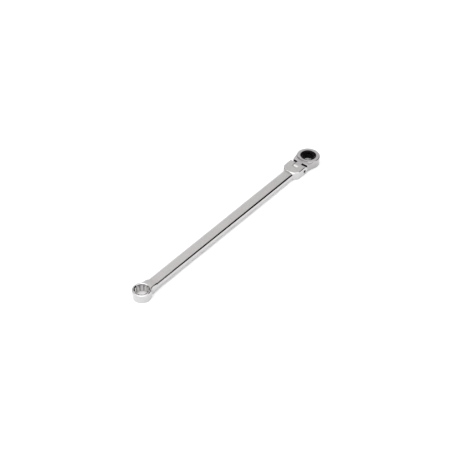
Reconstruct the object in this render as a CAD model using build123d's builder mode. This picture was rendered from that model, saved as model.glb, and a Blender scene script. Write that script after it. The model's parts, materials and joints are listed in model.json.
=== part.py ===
from build123d import *
import os
from math import acos, atan2, cos, hypot, radians, sin, sqrt

# Flex-head ratcheting wrench, millimetres.  The origin is the middle of the fixed box
# end's opening.  +X runs along the handle to the flex head, +Z is the socket axis.

# ---------------------------------------------------------------- driving dimensions
socket_af = 12.1            # across flats of both openings: 12 mm with working clearance
end_half = 5.0              # half the thickness of the box end, fork and ratchet head
socket_spacing = 264.4      # between the two socket axes
pin_to_head = 20.5          # from the flex pin to the ratchet socket axis

box_radius = 9.25
box_edge = 1.1              # rounding of the box end's outer edges
box_blend = 5.0             # radius in plan where the handle leaves the box end
rim_radius = 7.65           # lead-in cone of an opening, where it meets the face
rim_inner_radius = 6.25     # and where it runs out between the corners
rim_depth = 0.85

beam_width_box = 12.1       # handle width beside the box end
beam_width_fork = 13.3      # handle width beside the fork
beam_thick = 6.6
beam_corner = 2.2           # edge rounding of the handle
rise_start = 10.0           # where the handle starts to thin, beside the box end
rise_end = 16.5
rise_steps = 4              # sections the thinning is lofted through

fork_width = 20.8
fork_edge = 0.9
flare_behind = 16.1         # distances behind the flex pin
full_behind = 9.0
nose_behind = 14.9          # rounded back end of the fork's full thickness
nose_radius = 13.0
flare_steps = 6             # sections the widening is lofted through
scoop_radius = 2.4          # hollow between the nose and the handle's flat
slot_behind = 5.7
slot_width = 6.8
ear_radius = 5.0

head_radius = 12.7
head_edge = 0.7             # rounding of the head's outer edges
neck_half = 4.3             # half the thickness of neck and tongue
shoulder_gap = 0.9          # between an ear's end and the head's shoulder
shoulder_half_width = 9.5
shoulder_corner = 1.0       # rounding of the shoulder's corners in plan
tongue_width = 6.2
neck_edge = 0.6

tooth_count = 72
tip_radius = 9.5
root_radius = 9.05
steep_part = 0.25           # share of a tooth's pitch that its steep flank takes
tooth_band_half = 2.8
journal_radius = 8.75
journal_chamfer = 0.25
ring_half = 4.8             # half the ratchet ring's height
main_bore_radius = 9.65
lip_radius = 8.85           # the head's top lip, which the ratchet ring rests against
lip_thick = 2.0

clip_outer = 10.15          # retaining ring
clip_inner = 8.95
clip_thick = 0.8
clip_groove_radius = 10.2
clip_groove_play = 0.05
clip_opening = 24.0         # degrees
clip_middle = -3.5          # height of its middle plane

pawl_width = 6.4
pawl_half = 2.2
pawl_back = 12.35           # from the ratchet socket axis
pawl_front = 8.25           # reach of its blank, before its teeth are cut
pawl_corner = 0.5
pawl_play = 0.1
pawl_mesh_gap = 0.06
pocket_back = 13.0

spring_radius = 0.74        # to the wire's middle
wire_radius = 0.16
spring_turns = 6
spring_end_play = 0.04
spring_seat_radius = 1.1
spring_seat_back = 16.4
pawl_seat_front = 10.75

flex_pin_radius = 1.8
pin_running_play = 0.05
pin_recess = 1.1            # how far each pin end lies under the ear's face
pin_chamfer = 0.2
washer_radius = 4.2
washer_thick = 0.24

# ---------------------------------------------------------------- worked out from those
pin_x = socket_spacing - pin_to_head
shoulder_x = pin_x + ear_radius + shoulder_gap
tooth_pitch = 360 / tooth_count


def eased(share):
    """Share of the way along, from 0 to 1, slowed down at both ends."""
    return share * share * (3 - 2 * share)


def tooth_outline(shift):
    """Corner points of the saw-toothed circle, moved outward by shift."""
    points = []
    for tooth in range(tooth_count):
        tip = radians(180 + (tooth + 0.5) * tooth_pitch)
        root = tip + radians(steep_part * tooth_pitch)
        points.append(((tip_radius + shift) * cos(tip), (tip_radius + shift) * sin(tip)))
        points.append(((root_radius + shift) * cos(root), (root_radius + shift) * sin(root)))
    return points


def head_plane(height):
    """Level plane at a height, centred on the ratchet socket axis."""
    return Plane.XY.offset(height).shift_origin((socket_spacing, 0, height))


def across(x):
    """Plane square to the handle at x, with its first axis along +Y."""
    return Plane(origin=(x, 0, 0), x_dir=(0, 1, 0), z_dir=(1, 0, 0))


def socket_sketch():
    """Twelve-point opening: two hexagons, a twelfth of a turn apart."""
    for turn in (0, 30):
        RegularPolygon(socket_af / 2, 6, major_radius=False, rotation=turn)


def cut_lead_ins(x, half_height):
    """Open out the mouth of an opening at both faces."""
    with Locations((x, 0, half_height - rim_depth / 2)):
        Cone(rim_inner_radius, rim_radius, rim_depth, mode=Mode.SUBTRACT)
    with Locations((x, 0, rim_depth / 2 - half_height)):
        Cone(rim_radius, rim_inner_radius, rim_depth, mode=Mode.SUBTRACT)


def flare_sections(thick, corner):
    """Cross-sections of the widening between handle and fork, for a loft."""
    sections = []
    for step in range(flare_steps + 1):
        share = step / flare_steps
        x = pin_x - flare_behind + share * (flare_behind - full_behind)
        width = beam_width_fork + eased(share) * (fork_width - beam_width_fork)
        with BuildSketch(across(x)) as section:
            RectangleRounded(width, thick, corner)
        sections.append(section.sketch)
    return sections


# ---------------------------------------------------------------- handle
# One forging: fixed box end, flat handle with rounded sides, and the fork of the flex joint.
# The fork's full thickness begins at a rounded nose with a hollow flank.
nose_x = pin_x - nose_behind + nose_radius
scoop_drop = end_half - beam_thick / 2
scoop_run = sqrt(scoop_radius ** 2 - (scoop_radius - scoop_drop) ** 2)
with BuildPart() as fork_limit:
    with BuildSketch(Plane.XZ.shift_origin((nose_x, 0, 0))):
        with BuildLine():
            for side in (1, -1):
                RadiusArc((nose_radius, side * end_half),
                          (nose_radius + scoop_run, side * beam_thick / 2), side * scoop_radius)
            Polyline((nose_radius, end_half), (0, end_half), (0, -end_half),
                     (nose_radius, -end_half))
            Line((nose_radius + scoop_run, beam_thick / 2),
                 (nose_radius + scoop_run, -beam_thick / 2))
        make_face()
    revolve(axis=Axis((nose_x, 0, 0), (0, 0, 1)))
    with Locations((nose_x, 0, 0)):
        Box(2 * fork_width, 2 * fork_width, 2 * end_half,
            align=(Align.MIN, Align.CENTER, Align.CENTER))

with BuildPart() as fork:
    loft(flare_sections(2 * end_half, fork_edge))
    with BuildSketch(across(pin_x - full_behind)):
        RectangleRounded(fork_width, 2 * end_half, fork_edge)
    extrude(amount=full_behind)
    add(fork_limit.part, mode=Mode.INTERSECT)
    with BuildSketch(across(pin_x)):
        RectangleRounded(fork_width, 2 * end_half, fork_edge)
    extrude(amount=ear_radius)
    with BuildSketch(Plane.XZ):
        with Locations((pin_x, 0)):
            Circle(ear_radius)
            Rectangle(2 * fork_width, 2 * end_half, align=(Align.MAX, Align.CENTER))
    extrude(amount=fork_width, both=True, mode=Mode.INTERSECT)

with BuildPart() as handle:
    # box end, running into the handle with rounded corners in plan
    with BuildSketch(Plane.XY.offset(-end_half)) as box_plan:
        Circle(box_radius)
        Rectangle(rise_start, beam_width_box, align=(Align.MIN, Align.CENTER))
        fillet(box_plan.vertices().sort_by(Axis.X)[:2], box_blend)
    extrude(amount=2 * end_half)
    for end in (0, -1):
        rim = handle.faces().sort_by(Axis.Z)[end].edges().sort_by(Axis.X)
        fillet(rim[:-1], box_edge)

    # the handle thins smoothly from the box end's full thickness to its own
    for step in range(rise_steps + 1):
        share = step / rise_steps
        thick = 2 * end_half + eased(share) * (beam_thick - 2 * end_half)
        corner = box_edge + eased(share) * (beam_corner - box_edge)
        with BuildSketch(across(rise_start + share * (rise_end - rise_start))):
            RectangleRounded(beam_width_box, thick, corner)
    loft()

    # straight run, a little wider towards the fork
    with BuildSketch(across(rise_end)):
        RectangleRounded(beam_width_box, beam_thick, beam_corner)
    with BuildSketch(across(pin_x - flare_behind)):
        RectangleRounded(beam_width_fork, beam_thick, beam_corner)
    loft()

    # widening to the fork
    loft(flare_sections(beam_thick, beam_corner))
    add(fork.part)

    # slot for the head's tongue
    with Locations((pin_x - slot_behind, 0, 0)):
        Box(2 * slot_behind + ear_radius, slot_width, 3 * end_half,
            align=(Align.MIN, Align.CENTER, Align.CENTER), mode=Mode.SUBTRACT)

    # flex pin hole through both ears
    with Locations(Plane.XZ.shift_origin((pin_x, 0, 0))):
        Cylinder(flex_pin_radius, 2 * fork_width, mode=Mode.SUBTRACT)

    # twelve-point opening with a lead-in at both faces
    with BuildSketch():
        socket_sketch()
    extrude(amount=2 * end_half, both=True, mode=Mode.SUBTRACT)
    cut_lead_ins(0, end_half)
handle.part.label = "handle"

# ---------------------------------------------------------------- ratchet head
# Housing ring, neck and tongue, forged in one with a pocket for the pawl.
shoulder_reach = hypot(shoulder_x - socket_spacing, shoulder_half_width)
shoulder_angle = atan2(shoulder_half_width, shoulder_x - socket_spacing)
tangent_angle = shoulder_angle - acos(head_radius / shoulder_reach)
tangent_x = socket_spacing + head_radius * cos(tangent_angle)
tangent_y = head_radius * sin(tangent_angle)
with BuildPart() as housing_ring:
    with BuildSketch(head_plane(-end_half)):
        Circle(head_radius)
    extrude(amount=2 * end_half)
    fillet(housing_ring.edges().filter_by(GeomType.CIRCLE), head_edge)

with BuildPart() as ratchet_head:
    # neck, whose sides run tangent to the housing ring
    with BuildSketch(Plane.XY.offset(-neck_half)):
        with BuildLine():
            Polyline((shoulder_x, -shoulder_half_width), (shoulder_x, shoulder_half_width),
                     (tangent_x, tangent_y), (tangent_x, -tangent_y), close=True)
        make_face()
    extrude(amount=2 * neck_half)
    fillet(ratchet_head.edges().filter_by(Axis.Z).sort_by(Axis.X)[:2], shoulder_corner)
    fillet(ratchet_head.faces().sort_by(Axis.Z)[-1].edges().sort_by(Axis.X)[:-1], neck_edge)
    fillet(ratchet_head.faces().sort_by(Axis.Z)[0].edges().sort_by(Axis.X)[:-1], neck_edge)

    # tongue, rounded about the flex pin
    with BuildSketch(Plane.XZ):
        with Locations((pin_x, 0)):
            Circle(neck_half)
            Rectangle(shoulder_x + 2 * neck_edge - pin_x, 2 * neck_half,
                      align=(Align.MIN, Align.CENTER))
    extrude(amount=tongue_width / 2, both=True)

    add(housing_ring.part)

    # bore for the ratchet ring, open below and closed to a lip above
    with BuildSketch(head_plane(-end_half)):
        Circle(main_bore_radius)
    extrude(amount=2 * end_half - lip_thick, mode=Mode.SUBTRACT)
    with BuildSketch(head_plane(end_half)):
        Circle(lip_radius)
    extrude(amount=-2 * end_half, mode=Mode.SUBTRACT)
    with BuildSketch(head_plane(clip_middle)):
        Circle(clip_groove_radius)
    extrude(amount=clip_thick / 2 + clip_groove_play, both=True, mode=Mode.SUBTRACT)

    # pawl pocket and spring seat
    with Locations((socket_spacing - pocket_back, 0, 0)):
        Box(pocket_back - root_radius, pawl_width + 2 * pawl_play, 2 * (pawl_half + pawl_play),
            align=(Align.MIN, Align.CENTER, Align.CENTER), mode=Mode.SUBTRACT)
    with BuildSketch(across(socket_spacing - spring_seat_back)):
        Circle(spring_seat_radius)
    extrude(amount=spring_seat_back - pawl_back, mode=Mode.SUBTRACT)

    # running hole for the flex pin
    with Locations(Plane.XZ.shift_origin((pin_x, 0, 0))):
        Cylinder(flex_pin_radius + pin_running_play, 2 * fork_width, mode=Mode.SUBTRACT)
ratchet_head.part.label = "ratchet_head"

# ---------------------------------------------------------------- ratchet ring
# Black ring with saw teeth outside and the twelve-point opening inside.
with BuildPart() as ratchet_ring:
    with BuildSketch(head_plane(-ring_half)):
        Circle(journal_radius)
    extrude(amount=2 * ring_half)
    chamfer(ratchet_ring.edges().filter_by(GeomType.CIRCLE), journal_chamfer)
    with BuildSketch(head_plane(-tooth_band_half)):
        Polygon(*tooth_outline(0), align=None)
    extrude(amount=2 * tooth_band_half)
    with BuildSketch(head_plane(0)):
        socket_sketch()
    extrude(amount=2 * end_half, both=True, mode=Mode.SUBTRACT)
    cut_lead_ins(socket_spacing, ring_half)
ratchet_ring.part.label = "ratchet_ring"

# ---------------------------------------------------------------- pawl
# Sliding block whose curved front carries the mating teeth; its back holds the spring.
with BuildPart() as pawl:
    with BuildSketch(head_plane(-pawl_half)):
        with Locations((-pawl_back, 0)):
            Rectangle(pawl_back - pawl_front, pawl_width, align=(Align.MIN, Align.CENTER))
        Polygon(*tooth_outline(pawl_mesh_gap), align=None, mode=Mode.SUBTRACT)
    extrude(amount=2 * pawl_half)
    with BuildSketch(across(socket_spacing - pawl_back)):
        Circle(spring_seat_radius)
    extrude(amount=pawl_back - pawl_seat_front, mode=Mode.SUBTRACT)
    fillet(pawl.edges().filter_by(Axis.Z).sort_by(Axis.X)[:2], pawl_corner)
pawl.part.label = "pawl"

# ---------------------------------------------------------------- pawl spring
# Small compression coil between the pawl and the bottom of its seat.
spring_length = spring_seat_back - pawl_seat_front - 2 * (wire_radius + spring_end_play)
spring_start = socket_spacing - spring_seat_back + wire_radius + spring_end_play
with BuildPart() as pawl_spring:
    with BuildLine():
        coil = Helix(spring_length / spring_turns, spring_length, spring_radius,
                     center=(spring_start, 0, 0), direction=(1, 0, 0))
    with BuildSketch(Plane(origin=coil @ 0, z_dir=coil % 0)):
        Circle(wire_radius)
    sweep(is_frenet=True)
pawl_spring.part.label = "pawl_spring"

# ---------------------------------------------------------------- retaining ring
# Split spring ring, sprung into the head's groove under the tooth band.
opening_x = 2 * clip_outer * cos(radians(clip_opening / 2))
opening_y = 2 * clip_outer * sin(radians(clip_opening / 2))
with BuildPart() as retaining_ring:
    with BuildSketch(head_plane(clip_middle)):
        Circle(clip_outer)
        Circle(clip_inner, mode=Mode.SUBTRACT)
        with BuildLine():
            Polyline((0, 0), (opening_x, opening_y), (opening_x, -opening_y), close=True)
        make_face(mode=Mode.SUBTRACT)
    extrude(amount=clip_thick / 2, both=True)
retaining_ring.part.label = "retaining_ring"

# ---------------------------------------------------------------- flex pin
# Plain pin pressed into both ears; the head's tongue turns on its middle.
with BuildPart() as flex_pin:
    with Locations(Plane.XZ.shift_origin((pin_x, 0, 0))):
        Cylinder(flex_pin_radius, fork_width - 2 * pin_recess)
    chamfer(flex_pin.edges().filter_by(GeomType.CIRCLE), pin_chamfer)
flex_pin.part.label = "flex_pin"

# ---------------------------------------------------------------- friction washers
# Spring washers on the pin, one each side of the tongue, that hold the head's angle.
washers = {}
for washer_name, side in (("friction_washer_right", -1), ("friction_washer_left", 1)):
    with BuildPart() as washer:
        middle = side * (slot_width - washer_thick) / 2
        with BuildSketch(Plane.XZ.offset(-middle)):
            with Locations((pin_x, 0)):
                Circle(washer_radius)
                Circle(flex_pin_radius + pin_running_play, mode=Mode.SUBTRACT)
        extrude(amount=washer_thick / 2, both=True)
    washer.part.label = washer_name
    washers[washer_name] = washer

# ---------------------------------------------------------------- export
os.makedirs("parts", exist_ok=True)
export_step(handle.part, "parts/handle.step")
export_step(ratchet_head.part, "parts/ratchet_head.step")
export_step(ratchet_ring.part, "parts/ratchet_ring.step")
export_step(pawl.part, "parts/pawl.step")
export_step(pawl_spring.part, "parts/pawl_spring.step")
export_step(retaining_ring.part, "parts/retaining_ring.step")
export_step(flex_pin.part, "parts/flex_pin.step")
for washer_name, washer in washers.items():
    export_step(washer.part, f"parts/{washer_name}.step")
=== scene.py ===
import json
import math

import bpy
from mathutils import Matrix, Vector


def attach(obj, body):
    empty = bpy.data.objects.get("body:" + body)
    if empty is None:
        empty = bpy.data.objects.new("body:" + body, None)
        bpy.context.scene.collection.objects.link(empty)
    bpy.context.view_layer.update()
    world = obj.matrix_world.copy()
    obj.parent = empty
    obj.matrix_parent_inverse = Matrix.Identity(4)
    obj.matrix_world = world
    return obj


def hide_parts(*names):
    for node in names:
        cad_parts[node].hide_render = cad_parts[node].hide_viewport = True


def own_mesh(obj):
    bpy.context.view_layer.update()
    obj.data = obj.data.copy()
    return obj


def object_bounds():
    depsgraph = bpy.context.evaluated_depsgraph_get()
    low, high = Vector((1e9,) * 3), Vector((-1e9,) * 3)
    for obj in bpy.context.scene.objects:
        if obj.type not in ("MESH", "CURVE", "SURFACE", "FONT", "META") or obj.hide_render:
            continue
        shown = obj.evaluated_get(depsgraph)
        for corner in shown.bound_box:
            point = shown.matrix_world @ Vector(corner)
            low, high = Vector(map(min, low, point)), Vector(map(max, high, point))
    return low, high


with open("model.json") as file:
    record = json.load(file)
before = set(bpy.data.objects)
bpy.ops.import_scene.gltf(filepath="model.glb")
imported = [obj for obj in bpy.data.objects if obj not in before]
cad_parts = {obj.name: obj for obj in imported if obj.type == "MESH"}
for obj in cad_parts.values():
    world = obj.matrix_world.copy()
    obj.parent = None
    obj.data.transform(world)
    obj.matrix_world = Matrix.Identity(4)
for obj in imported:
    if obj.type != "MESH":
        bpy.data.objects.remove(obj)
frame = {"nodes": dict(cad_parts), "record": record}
cad_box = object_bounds()

# ---------------------------------------------------------------- places, from the frame
SOCKET = Vector(frame["record"]["mounts"][0]["pos_m"])
FLOOR_Z = cad_box[0].z
PIN = Vector(frame["record"]["behaviour"]["joints"][0]["pos_m"])
RING = Vector(frame["record"]["mounts"][1]["pos_m"])

# ---------------------------------------------------------------- camera
AIM = SOCKET + Vector((0.1223, 0.0007, 0.0))
CAMERA_AZIMUTH = math.radians(-50.19)
CAMERA_ELEVATION = math.radians(42.26)
CAMERA_DISTANCE = 0.9159
CAMERA_LENS = 72.26
SENSOR_WIDTH = 36
CLIP_NEAR = 0.01
CLIP_FAR = 20


def make_camera():
    back = Vector((math.sin(CAMERA_AZIMUTH) * math.cos(CAMERA_ELEVATION),
                   -math.cos(CAMERA_AZIMUTH) * math.cos(CAMERA_ELEVATION),
                   math.sin(CAMERA_ELEVATION)))
    right = Vector((math.cos(CAMERA_AZIMUTH), math.sin(CAMERA_AZIMUTH), 0))
    up = back.cross(right)
    turn = Matrix((right, up, back)).transposed().to_4x4()
    camera = bpy.data.objects.new("camera", bpy.data.cameras.new("camera"))
    camera.matrix_world = Matrix.Translation(AIM + back * CAMERA_DISTANCE) @ turn
    camera.data.sensor_width = SENSOR_WIDTH
    camera.data.lens = CAMERA_LENS
    camera.data.clip_start = CLIP_NEAR
    camera.data.clip_end = CLIP_FAR
    bpy.context.scene.collection.objects.link(camera)
    bpy.context.scene.camera = camera


# ---------------------------------------------------------------- node helpers
def new_material(name):
    material = bpy.data.materials.new(name)
    material.use_nodes = True
    tree = material.node_tree
    tree.nodes.clear()
    output = tree.nodes.new("ShaderNodeOutputMaterial")
    shader = tree.nodes.new("ShaderNodeBsdfPrincipled")
    tree.links.new(shader.outputs["BSDF"], output.inputs["Surface"])
    return material, tree, shader


def noise(tree, scale, detail):
    """Noise over the piece; scale is in cycles a metre along X, Y and Z."""
    source = tree.nodes.new("ShaderNodeTexCoord")
    mapping = tree.nodes.new("ShaderNodeMapping")
    mapping.inputs["Scale"].default_value = scale
    tree.links.new(source.outputs["Object"], mapping.inputs["Vector"])
    node = tree.nodes.new("ShaderNodeTexNoise")
    node.inputs["Scale"].default_value = 1.0
    node.inputs["Detail"].default_value = detail
    node.inputs["Roughness"].default_value = 0.6
    tree.links.new(mapping.outputs["Vector"], node.inputs["Vector"])
    return node.outputs["Fac"]


def ramp(tree, value, start, end, start_to=0.0, end_to=1.0):
    """A value between start and end becomes one between start_to and end_to, and stops there."""
    node = tree.nodes.new("ShaderNodeMapRange")
    node.inputs["From Min"].default_value = start
    node.inputs["From Max"].default_value = end
    node.inputs["To Min"].default_value = start_to
    node.inputs["To Max"].default_value = end_to
    tree.links.new(value, node.inputs["Value"])
    return node.outputs["Result"]


def falling(tree, value, start, end):
    """A mask that is 1 below start and 0 beyond end."""
    return ramp(tree, value, start, end, 1.0, 0.0)


def maths(tree, operation, a, b=None):
    node = tree.nodes.new("ShaderNodeMath")
    node.operation = operation
    for socket, value in zip(node.inputs, (a, b)):
        if value is None:
            continue
        if isinstance(value, (int, float)):
            socket.default_value = value
        else:
            tree.links.new(value, socket)
    return node.outputs["Value"]


def product(tree, first, *others):
    for other in others:
        first = maths(tree, "MULTIPLY", first, other)
    return first


def inverse(tree, mask):
    return maths(tree, "SUBTRACT", 1.0, mask)


def size_of(tree, value):
    return maths(tree, "ABSOLUTE", value)


def mix_colour(tree, factor, a, b):
    node = tree.nodes.new("ShaderNodeMix")
    node.data_type = "RGBA"
    tree.links.new(factor, node.inputs["Factor"])
    for socket, value in ((node.inputs[6], a), (node.inputs[7], b)):
        if isinstance(value, tuple):
            socket.default_value = value
        else:
            tree.links.new(value, socket)
    return node.outputs[2]


def scaled(colour, factor):
    return tuple(factor * c for c in colour[:3]) + (1,)


def bump(tree, shader, height, distance):
    node = tree.nodes.new("ShaderNodeBump")
    node.inputs["Strength"].default_value = 1.0
    node.inputs["Distance"].default_value = distance
    tree.links.new(height, node.inputs["Height"])
    tree.links.new(node.outputs["Normal"], shader.inputs["Normal"])


def split_xyz(tree, vector):
    node = tree.nodes.new("ShaderNodeSeparateXYZ")
    tree.links.new(vector, node.inputs["Vector"])
    return node.outputs


def radius_from(tree, place, axes, centre):
    """Distance from the line through centre that is square to the two axes."""
    flattened = tree.nodes.new("ShaderNodeCombineXYZ")
    for axis in axes:
        tree.links.new(place[axis], flattened.inputs[axis])
    node = tree.nodes.new("ShaderNodeVectorMath")
    node.operation = "DISTANCE"
    tree.links.new(flattened.outputs["Vector"], node.inputs[0])
    node.inputs[1].default_value = centre
    return node.outputs["Value"]


# ---------------------------------------------------------------- chrome
POLISHED = (0.54, 0.535, 0.535, 1)
SATIN = (0.415, 0.40, 0.40, 1)
# the head has the handle's chrome plate; these darker copies of its colours are painted shade
HEAD_POLISHED_SHADED = (0.41, 0.40, 0.40, 1)
HEAD_SATIN_SHADED = (0.385, 0.373, 0.373, 1)
CLEAN_SATIN, DULL_SATIN = 1.06, 0.90
DULL_POLISHED = 0.94
SATIN_ROUGHNESS = (0.30, 0.38)
GRAIN_ROUGHNESS = (-0.03, 0.03)
POLISHED_ROUGHNESS = (0.06, 0.14)
FLAT_TILT = (0.03, 0.08)       # satin below the first, polished beyond the second
LENGTHWISE = 0.5               # a slope along the handle counts half
PIT_SHARE = 0.25
CHROME_RELIEF = 0.000008
UPRIGHT = (0.3, 0.6)           # size of the normal's Z: a wall below the first

# the fixed opening: radii from its axis; its flute corners and lead-in cone get painted shade
BROACHED = (0.62, 0.61, 0.61, 1)
MOUTH = (0.00768, 0.0077)
# painted shade colour for the flute corners
FLUTE_SHADE = (0.36, 0.35, 0.35, 1)
FLUTE = (0.00655, 0.00685)
# painted shade colour for the line where the lead-in cone ends
CHAMFER_SHADE = (0.08, 0.08, 0.08, 1)
CHAMFER_SHADE_EDGE = (0.0070, 0.00705)

# painted shade at the step from the housing ring to the neck: radii from the ring's axis
# painted shade colour for the step's corner
STEP_SHADE = (0.13, 0.127, 0.125, 1)
STEP_INNER = (0.0108, 0.0113)
STEP_OUTER = (0.0122, 0.0127)
STEP_SIDE = (RING.x - 0.0102, RING.x - 0.0092)

# painted shade in the hinge: places along the handle, and the radius of the pin's hole
# painted shade colour for the hinge's gap faces
HINGE_GAP_SHADE = (0.13, 0.127, 0.122, 1)
HINGE_START = (PIN.x + 0.0035, PIN.x + 0.0037)
HINGE_END = (PIN.x + 0.0065, PIN.x + 0.0067)
CROSSWISE = (0.80, 0.97)
# painted shade colour for the pin hole
PIN_HOLE_SHADE = (0.02, 0.02, 0.02, 1)
PIN_HOLE = (0.00187, 0.00189)


def plate_roughness(tree, flat, grain, mottle):
    satin = maths(tree, "ADD", ramp(tree, mottle, 0.3, 0.7, *SATIN_ROUGHNESS),
                  ramp(tree, grain, 0.3, 0.7, *GRAIN_ROUGHNESS))
    polished = ramp(tree, mottle, 0.35, 0.75, *POLISHED_ROUGHNESS)
    return maths(tree, "ADD", product(tree, satin, flat),
                 product(tree, polished, inverse(tree, flat)))


def plate_colour(tree, flat, polished_colour, satin_colour):
    clean = mix_colour(tree, flat, polished_colour, scaled(satin_colour, CLEAN_SATIN))
    dull = mix_colour(tree, flat, scaled(polished_colour, DULL_POLISHED),
                      scaled(satin_colour, DULL_SATIN))
    clouds = ramp(tree, noise(tree, (500, 900, 900), 3.0), 0.35, 0.65)
    return mix_colour(tree, clouds, clean, dull)


def add_opening(tree, colour, place, upright):
    """Broached walls, painted shade in their corners and a painted shade line where the lead-in
    cone ends.
    """
    radius = radius_from(tree, place, "XY", SOCKET)
    wall = product(tree, falling(tree, radius, *MOUTH), upright)
    colour = mix_colour(tree, wall, colour, BROACHED)
    # painted shade: the flute corners of the walls darker
    flute_shade = product(tree, ramp(tree, radius, *FLUTE), wall)
    colour = mix_colour(tree, flute_shade, colour, FLUTE_SHADE)
    # painted shade: a dark line on the non-upright faces inside the lead-in cone's inner edge
    chamfer_shade = product(tree, falling(tree, radius, *CHAMFER_SHADE_EDGE), inverse(tree, upright))
    return mix_colour(tree, chamfer_shade, colour, CHAMFER_SHADE)


def add_step_shade(tree, colour, place, upright):
    """Painted shade in the corner of the step from the housing ring down to the neck, on the
    neck's side only.
    """
    radius = radius_from(tree, place, "XY", (RING.x, 0, 0))
    step_shade = product(tree, ramp(tree, radius, *STEP_INNER), falling(tree, radius, *STEP_OUTER),
                      falling(tree, place["X"], *STEP_SIDE), inverse(tree, upright))
    return mix_colour(tree, step_shade, colour, STEP_SHADE)


def add_hinge_shade(tree, colour, place, normal):
    """Painted shade on the hinge's faces that are square to the handle, and near-black painted
    shade in the pin hole.
    """
    inside = product(tree, ramp(tree, place["X"], *HINGE_START),
                     falling(tree, place["X"], *HINGE_END))
    crosswise = ramp(tree, size_of(tree, normal["X"]), *CROSSWISE)
    colour = mix_colour(tree, product(tree, inside, crosswise), colour, HINGE_GAP_SHADE)
    pin_hole = falling(tree, radius_from(tree, place, "XZ", (PIN.x, 0, 0)), *PIN_HOLE)
    return mix_colour(tree, pin_hole, colour, PIN_HOLE_SHADE)


def chrome(name, polished_colour, satin_colour):
    """Chrome plate over a forging: flats left satin, sides and rounded edges polished."""
    material, tree, shader = new_material(name)
    shader.inputs["Metallic"].default_value = 1.0
    source = tree.nodes.new("ShaderNodeTexCoord")
    normal = split_xyz(tree, source.outputs["Normal"])
    place = split_xyz(tree, source.outputs["Object"])
    lengthwise = size_of(tree, product(tree, normal["X"], LENGTHWISE))
    tilt = maths(tree, "ADD", maths(tree, "POWER", lengthwise, 2.0),
                 maths(tree, "POWER", size_of(tree, normal["Y"]), 2.0))
    flat = falling(tree, tilt, *FLAT_TILT)
    upright = falling(tree, size_of(tree, normal["Z"]), *UPRIGHT)
    grain = noise(tree, (180, 1500, 1500), 3.0)
    mottle = noise(tree, (90, 90, 90), 5.0)
    pits = noise(tree, (1400, 1400, 1400), 2.0)

    colour = plate_colour(tree, flat, polished_colour, satin_colour)
    # the opening, the ring's step and the hinge get painted shade
    colour = add_opening(tree, colour, place, upright)
    colour = add_step_shade(tree, colour, place, upright)
    colour = add_hinge_shade(tree, colour, place, normal)
    tree.links.new(colour, shader.inputs["Base Color"])
    tree.links.new(plate_roughness(tree, flat, grain, mottle), shader.inputs["Roughness"])
    relief = maths(tree, "ADD", product(tree, grain, flat), product(tree, pits, PIT_SHARE))
    bump(tree, shader, relief, CHROME_RELIEF)
    return material


# ---------------------------------------------------------------- other steels
OXIDE_BLACK = (0.003, 0.0028, 0.0028, 1)
OXIDE_WORN = (0.045, 0.042, 0.042, 1)
OXIDE_METAL = 0.7
OXIDE_SHINE = 0.15
OXIDE_ROUGHNESS = (0.14, 0.26)
OXIDE_RELIEF = 0.000006
SPRING_STEEL = (0.42, 0.42, 0.43, 1)
# the pin's ground steel, darkened as painted shade for the recess its ends sit in
GROUND_STEEL_SHADED = (0.10, 0.10, 0.105, 1)
STEEL_DARKER = 0.7
STEEL_ROUGHNESS = (0.25, 0.38)
STEEL_RELIEF = 0.000005


def black_oxide():
    """Blackened steel with an oil sheen, slightly worn to grey in patches."""
    material, tree, shader = new_material("black_oxide")
    shader.inputs["Metallic"].default_value = OXIDE_METAL
    shader.inputs["Specular IOR Level"].default_value = OXIDE_SHINE
    patches = noise(tree, (260, 260, 260), 5.0)
    fine = noise(tree, (1800, 1800, 1800), 2.0)
    worn = ramp(tree, patches, 0.55, 0.8)
    tree.links.new(mix_colour(tree, worn, OXIDE_BLACK, OXIDE_WORN), shader.inputs["Base Color"])
    tree.links.new(ramp(tree, patches, 0.3, 0.7, *OXIDE_ROUGHNESS), shader.inputs["Roughness"])
    bump(tree, shader, fine, OXIDE_RELIEF)
    return material


def bare_steel(name, colour):
    """Ground or drawn steel with fine turning marks."""
    material, tree, shader = new_material(name)
    shader.inputs["Metallic"].default_value = 1.0
    marks = noise(tree, (900, 2600, 900), 3.0)
    patches = noise(tree, (320, 320, 320), 4.0)
    tree.links.new(mix_colour(tree, patches, colour, scaled(colour, STEEL_DARKER)),
                   shader.inputs["Base Color"])
    tree.links.new(ramp(tree, patches, 0.3, 0.7, *STEEL_ROUGHNESS), shader.inputs["Roughness"])
    bump(tree, shader, marks, STEEL_RELIEF)
    return material


def dress_nodes():
    plated = chrome("handle_chrome", POLISHED, SATIN)
    # the head's chrome: the handle's plate with colours darkened as painted shade
    head_plated_shaded = chrome("head_chrome_shaded", HEAD_POLISHED_SHADED, HEAD_SATIN_SHADED)
    black = black_oxide()
    spring = bare_steel("spring_steel", SPRING_STEEL)
    ground_and_shade = bare_steel("ground_steel_shaded", GROUND_STEEL_SHADED)
    finishes = {
        "handle": plated, "ratchet_head": head_plated_shaded, "ratchet_ring": black, "pawl": black,
        "pawl_spring": spring, "retaining_ring": spring, "flex_pin": ground_and_shade,
        "friction_washer_right": spring, "friction_washer_left": spring,
    }
    for node, material in finishes.items():
        mesh = frame["nodes"][node].data
        mesh.materials.clear()
        mesh.materials.append(material)


def make_pawl_coil():
    """The pawl's spring as a mesh copy of its own on the flex head, in place of the hidden CAD
    node.
    """
    node = frame["nodes"]["pawl_spring"]
    coil = bpy.data.objects.new("pawl_coil", node.data.copy())
    bpy.context.scene.collection.objects.link(coil)
    coil.matrix_world = node.matrix_world.copy()
    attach(coil, "flex_head")
    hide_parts("pawl_spring")
    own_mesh(coil)


# ---------------------------------------------------------------- floor and light
FLOOR_SIZE = 6.0
FLOOR_COLOUR = (0.93, 0.93, 0.93, 1)
FLOOR_ROUGHNESS = 0.9
FLOOR_SHINE = 0.1
STUDIO_LEVEL = 1.45
DARKEST = 0.01
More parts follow.
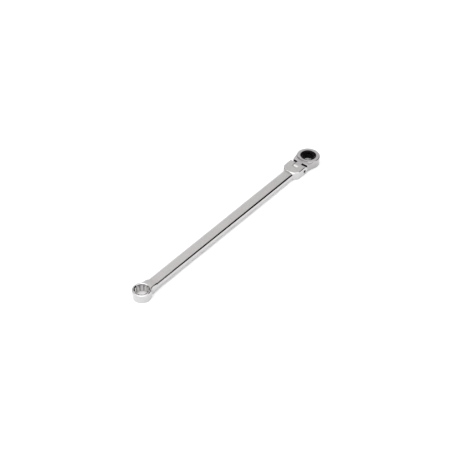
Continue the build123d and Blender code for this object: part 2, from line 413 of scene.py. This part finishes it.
# studio brightness: direction, angle of full strength, angle where it ends, amount
LOBES = (
    ((-0.22, 0.20, 0.95), 16, 34, 1.0),
    ((-0.50, -0.60, 0.62), 25, 55, 0.6),
    ((-0.02, 0.80, 0.60), 14, 26, -0.9),
    ((0.80, -0.10, 0.59), 21, 31, -2.0),
    ((0.72, -0.50, 0.50), 15, 24, -2.0),
    ((0.97, -0.05, 0.20), 12, 22, -2.0),
    ((0.18, 0.94, 0.30), 8, 16, -1.8),
)


def make_floor():
    bpy.ops.mesh.primitive_plane_add(size=FLOOR_SIZE, location=(AIM.x, AIM.y, FLOOR_Z))
    floor = bpy.context.object
    floor.name = "floor"
    material, _, shader = new_material("white_paper")
    shader.inputs["Base Color"].default_value = FLOOR_COLOUR
    shader.inputs["Roughness"].default_value = FLOOR_ROUGHNESS
    shader.inputs["Specular IOR Level"].default_value = FLOOR_SHINE
    floor.data.materials.append(material)


def direction_lobe(tree, direction, toward, inner, outer, amount):
    """Brightness added around a direction, fading from the inner to the outer angle in degrees."""
    dot = tree.nodes.new("ShaderNodeVectorMath")
    dot.operation = "DOT_PRODUCT"
    dot.inputs[1].default_value = Vector(toward).normalized()
    tree.links.new(direction, dot.inputs[0])
    node = tree.nodes.new("ShaderNodeMapRange")
    node.interpolation_type = "SMOOTHSTEP"
    node.inputs["From Min"].default_value = math.cos(math.radians(outer))
    node.inputs["From Max"].default_value = math.cos(math.radians(inner))
    node.inputs["To Max"].default_value = amount
    tree.links.new(dot.outputs["Value"], node.inputs["Value"])
    return node.outputs["Result"]


def make_world():
    """White studio: a bright panel overhead, a soft fill nearby and dark flags further off."""
    world = bpy.data.worlds.new("studio")
    bpy.context.scene.world = world
    world.use_nodes = True
    tree = world.node_tree
    direction = tree.nodes.new("ShaderNodeTexCoord").outputs["Generated"]
    level = STUDIO_LEVEL
    for lobe in LOBES:
        level = maths(tree, "ADD", level, direction_lobe(tree, direction, *lobe))
    level = maths(tree, "MAXIMUM", level, DARKEST)
    tree.links.new(level, tree.nodes["Background"].inputs["Strength"])
    tree.nodes["Background"].inputs["Color"].default_value = (1, 1, 1, 1)


def set_view():
    view = bpy.context.scene.view_settings
    view.view_transform = "Standard"
    view.look = "None"
    view.exposure = 0.0


make_camera()
dress_nodes()
make_pawl_coil()
make_floor()
make_world()
set_view()
